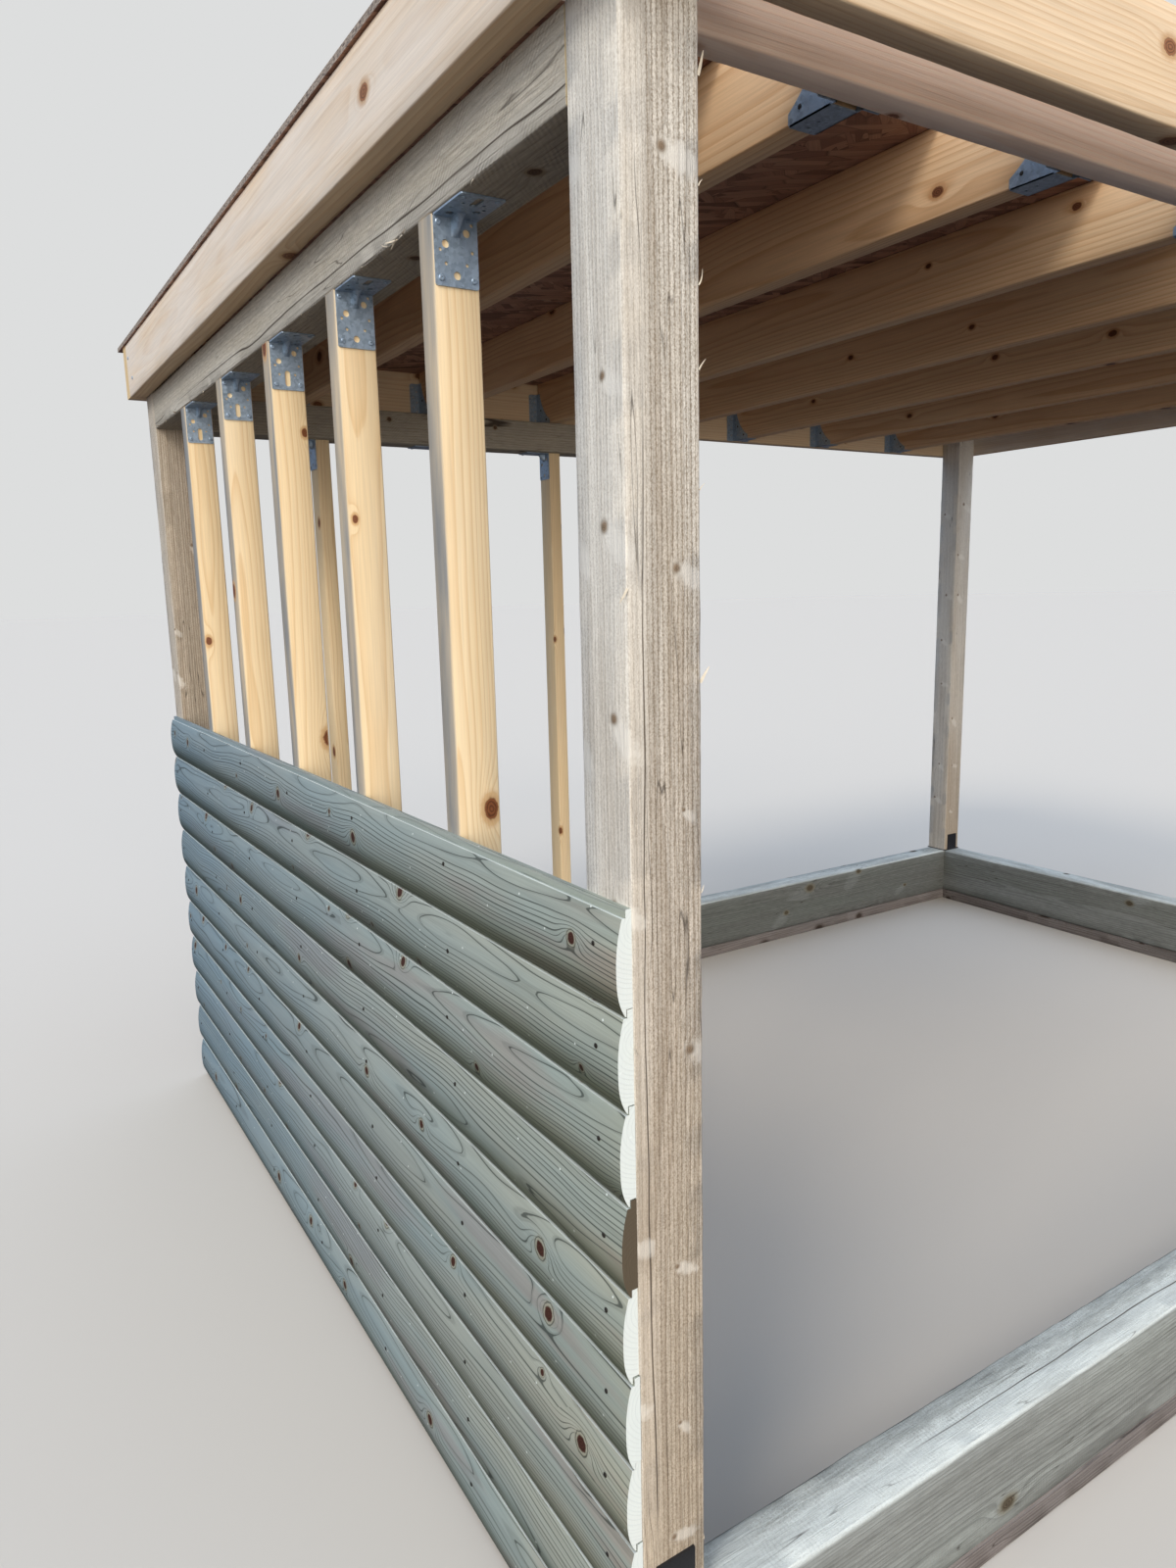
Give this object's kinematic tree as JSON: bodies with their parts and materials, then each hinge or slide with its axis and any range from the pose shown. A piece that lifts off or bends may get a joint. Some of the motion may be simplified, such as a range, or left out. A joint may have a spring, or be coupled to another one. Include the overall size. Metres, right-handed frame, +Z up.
{
  "type": "timber log store",
  "caption": "Open timber log store: flat boarded roof on posts over a ring of sleepers, one side wall studded and half clad in log-lap, front and right side open.",
  "frame": {"origin": "middle of the footprint of the bounding box, at ground level", "axes": "+X from left to right along the open front, +Y from the front to the back, +Z up"},
  "size_m": [3.77, 2.695, 2.323],
  "materials": {
    "treated_post": "rough sawn, pressure treated and weathered",
    "treated_sleeper": "rough sawn, green pressure treated",
    "weathered_board": "rough, old and damp",
    "planed_stud": "planed, eased edges",
    "roof_timber": "planed, untreated",
    "pink_timber": "planed, untreated",
    "strand_board": "pressed strands",
    "loglap": "planed, green pressure treated",
    "galvanised_steel": "galvanised sheet",
    "black_steel": "black powder coat"
  },
  "bodies": {
    "root": {"front_left_post": "treated_post", "front_right_post": "treated_post", "back_left_post": "treated_post", "back_middle_post": "treated_post", "back_right_post": "treated_post", "left_beam": "treated_post", "back_beam": "treated_post", "front_sleeper": "treated_sleeper", "back_sleeper": "treated_sleeper", "left_sleeper": "treated_sleeper", "right_sleeper": "treated_sleeper", "front_base_board": "weathered_board", "back_base_board": "weathered_board", "left_base_board": "weathered_board", "right_base_board": "weathered_board", "left_studs": "planed_stud", "back_studs": "planed_stud", "front_fascia": "roof_timber", "back_fascia": "roof_timber", "left_fascia": "roof_timber", "right_fascia": "roof_timber", "roof_joists": "roof_timber", "front_header": "pink_timber", "roof_deck_front": "strand_board", "roof_deck_back": "strand_board", "cladding_board_1": "loglap", "cladding_board_2": "loglap", "cladding_board_3": "loglap", "cladding_board_4": "loglap", "cladding_board_5": "loglap", "cladding_board_6": "loglap", "cladding_board_7": "loglap", "cladding_board_8": "loglap", "cladding_board_9": "loglap", "cladding_board_10": "loglap", "front_joist_hangers": "galvanised_steel", "back_joist_hangers": "galvanised_steel", "left_stud_brackets": "galvanised_steel", "back_stud_brackets": "galvanised_steel", "post_shoes": "black_steel"}
  },
  "joints": []
}
